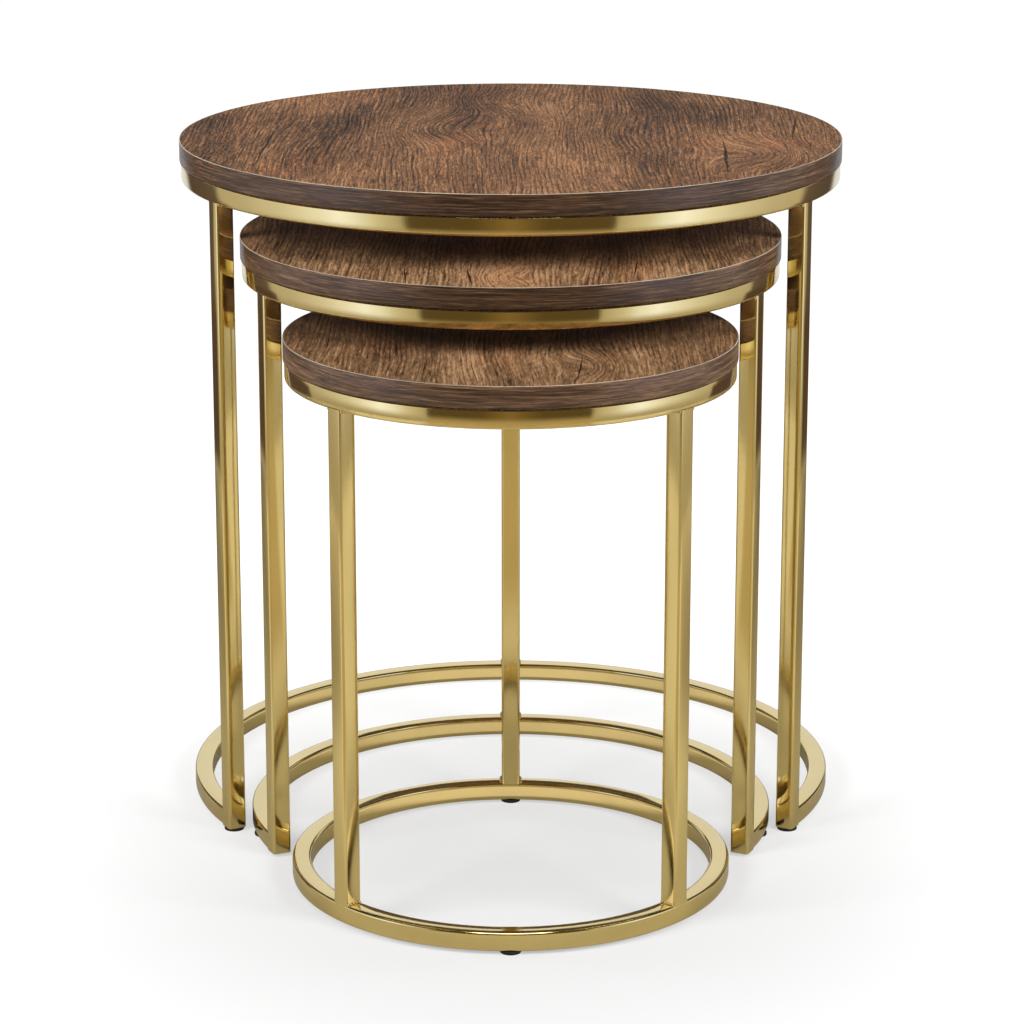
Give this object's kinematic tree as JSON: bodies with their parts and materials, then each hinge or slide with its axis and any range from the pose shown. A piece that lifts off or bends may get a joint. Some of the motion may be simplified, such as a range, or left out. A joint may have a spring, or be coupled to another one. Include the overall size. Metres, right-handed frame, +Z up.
{
  "type": "nesting tables",
  "caption": "Nest of round side tables: wood-effect board tops on polished gold square-tube frames, drawn forward from one another.",
  "frame": {"origin": "on the floor, under the middle of the nest's bounding box with the tables drawn forward as at rest", "axes": "+Z up, -Y is the front that the smaller tables slide out of, +X to the right seen from the front"},
  "size_m": [0.5, 0.6216, 0.514],
  "materials": {
    "board_face": "wood-effect laminate on particle board, satin, warm brown with dark cracks along the grain",
    "edge_band": "dark wood-effect edge band with grain running round the board",
    "gold_frame": "polished gold-coloured plating on steel square tube",
    "foot_rubber": "matt black rubber pad",
    "screw_steel": "zinc-plated pan-head screw"
  },
  "bodies": {
    "large_table": {"large_top_board": "board_face", "large_edge_band": "edge_band", "large_top_ring": "gold_frame", "large_base_ring": "gold_frame", "large_leg_front_right": "gold_frame", "large_leg_back": "gold_frame", "large_leg_front_left": "gold_frame", "large_foot_front_right": "foot_rubber", "large_foot_front_left": "foot_rubber", "large_foot_back": "foot_rubber", "large_tab_1": "gold_frame", "large_tab_2": "gold_frame", "large_tab_3": "gold_frame", "large_tab_4": "gold_frame", "large_screw_1": "screw_steel", "large_screw_2": "screw_steel", "large_screw_3": "screw_steel", "large_screw_4": "screw_steel"},
    "medium_table": {"medium_top_board": "board_face", "medium_edge_band": "edge_band", "medium_top_ring": "gold_frame", "medium_base_ring": "gold_frame", "medium_leg_front_right": "gold_frame", "medium_leg_back": "gold_frame", "medium_leg_front_left": "gold_frame", "medium_foot_right": "foot_rubber", "medium_foot_back": "foot_rubber", "medium_foot_left": "foot_rubber", "medium_tab_1": "gold_frame", "medium_tab_2": "gold_frame", "medium_tab_3": "gold_frame", "medium_tab_4": "gold_frame", "medium_screw_1": "screw_steel", "medium_screw_2": "screw_steel", "medium_screw_3": "screw_steel", "medium_screw_4": "screw_steel"},
    "small_table": {"small_top_board": "board_face", "small_edge_band": "edge_band", "small_top_ring": "gold_frame", "small_base_ring": "gold_frame", "small_leg_front_right": "gold_frame", "small_leg_back": "gold_frame", "small_leg_front_left": "gold_frame", "small_foot_front": "foot_rubber", "small_foot_right": "foot_rubber", "small_foot_back": "foot_rubber", "small_foot_left": "foot_rubber", "small_tab_1": "gold_frame", "small_tab_2": "gold_frame", "small_tab_3": "gold_frame", "small_tab_4": "gold_frame", "small_screw_1": "screw_steel", "small_screw_2": "screw_steel", "small_screw_3": "screw_steel", "small_screw_4": "screw_steel"}
  },
  "joints": [
    {"name": "medium_slide", "type": "slide", "parent": "large_table", "child": "medium_table", "axis": [0, -1, 0], "range_m": [-0.092, 0.36]},
    {"name": "small_slide", "type": "slide", "parent": "medium_table", "child": "small_table", "axis": [0, -1, 0], "range_m": [-0.118, 0.25]}
  ]
}
